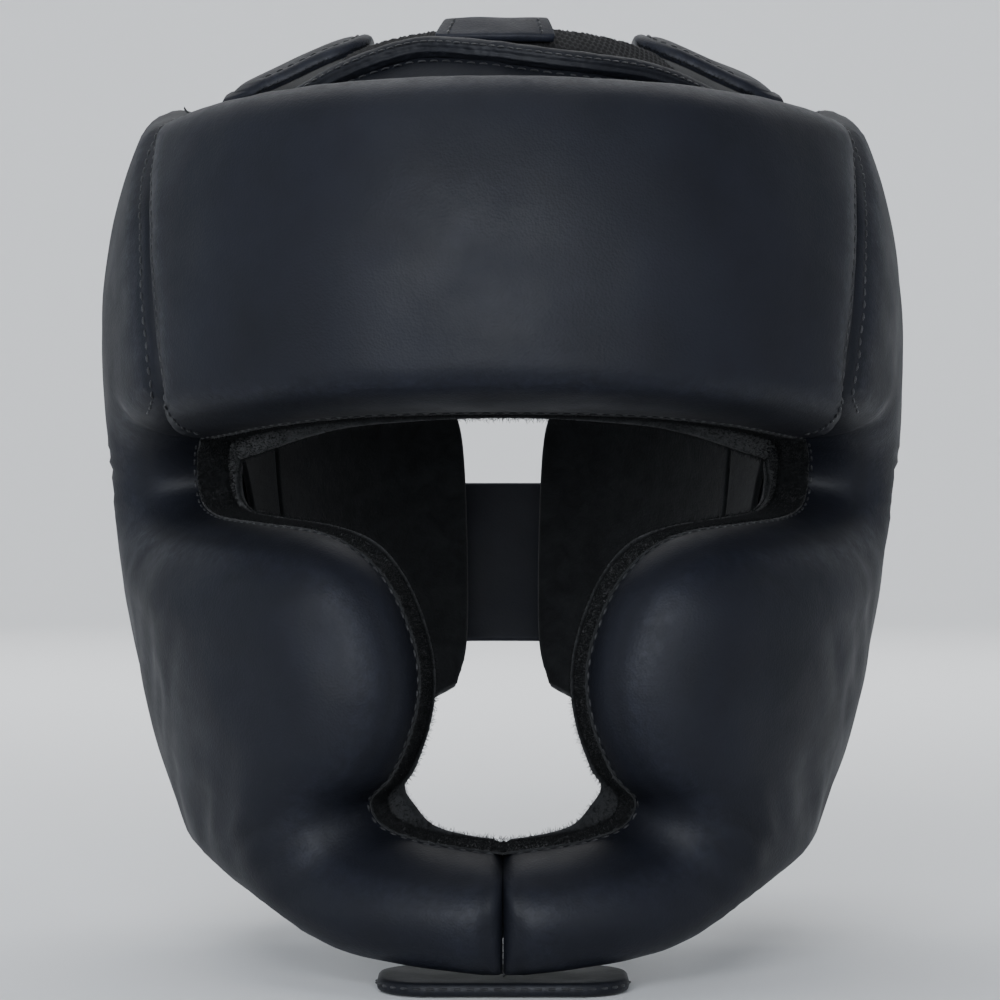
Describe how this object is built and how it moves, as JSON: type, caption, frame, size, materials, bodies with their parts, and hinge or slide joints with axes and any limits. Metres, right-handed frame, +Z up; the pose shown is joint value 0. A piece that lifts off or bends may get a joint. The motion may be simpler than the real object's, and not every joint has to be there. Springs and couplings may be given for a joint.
{
  "type": "boxing headgear",
  "caption": "Full-face padded boxing headgear with brow, cheek and chin pads, ear openings, crown straps and a hook-and-loop rear closure.",
  "frame": {"origin": "middle of the head space, where the wearer's head holds the guard", "axes": "+Z up, -Y the way the face looks, +X to the wearer's left"},
  "size_m": [0.228, 0.2544, 0.2625],
  "materials": {
    "leather": "matte satin grain",
    "suede": "fuzzy nap",
    "foam": "closed-cell foam",
    "webbing": "coarse weave",
    "tape": "hook and loop"
  },
  "bodies": {
    "shell": {"forehead_cover": "leather", "forehead_foam": "foam", "forehead_lining": "suede", "left_side_cover": "leather", "left_side_foam": "foam", "left_side_lining": "suede", "right_side_cover": "leather", "right_side_foam": "foam", "right_side_lining": "suede", "left_ear_cup": "leather", "right_ear_cup": "leather", "crown_front_panel": "leather", "crown_binding": "leather", "crown_webbing": "webbing", "crown_tab": "leather", "rear_crown_band": "webbing", "chin_gusset": "leather"},
    "left_wing": {"left_wing_cover": "leather", "left_wing_foam": "foam", "left_wing_lining": "suede", "rear_strap_anchor": "leather"},
    "right_wing": {"right_wing_cover": "leather", "right_wing_foam": "foam", "right_wing_lining": "suede", "rear_loop_tape": "tape"},
    "rear_closure": {"rear_strap": "leather", "rear_hook_tape": "tape"},
    "left_flap": {"left_crown_flap": "leather"},
    "right_flap": {"right_crown_flap": "leather"}
  },
  "joints": [
    {"name": "rear_strap_peel", "type": "hinge", "parent": "left_wing", "child": "rear_closure", "pos_m": [0.0609, 0.09929, -0.0202], "axis": [0, 0, -1], "range_deg": [0, 100]},
    {"name": "left_wing_swing", "type": "hinge", "parent": "shell", "child": "left_wing", "pos_m": [0.07241, 0.05033, -0.01217], "axis": [-0.1262, -0.094, -0.9875], "range_deg": [0, 20]},
    {"name": "right_wing_swing", "type": "hinge", "parent": "shell", "child": "right_wing", "pos_m": [-0.07241, 0.05033, -0.01217], "axis": [-0.1262, 0.094, 0.9875], "range_deg": [0, 20]},
    {"name": "left_crown_flap_lift", "type": "hinge", "parent": "shell", "child": "left_flap", "pos_m": [0.078, 0, 0.1126], "axis": [0, 1, 0], "range_deg": [0, 65]},
    {"name": "right_crown_flap_lift", "type": "hinge", "parent": "shell", "child": "right_flap", "pos_m": [-0.078, 0, 0.1126], "axis": [0, -1, 0], "range_deg": [0, 65]}
  ],
  "couplings": [
    {"joint": "left_wing_swing", "follows": "rear_strap_peel", "ratio": 0.2},
    {"joint": "right_wing_swing", "follows": "rear_strap_peel", "ratio": 0.2}
  ]
}
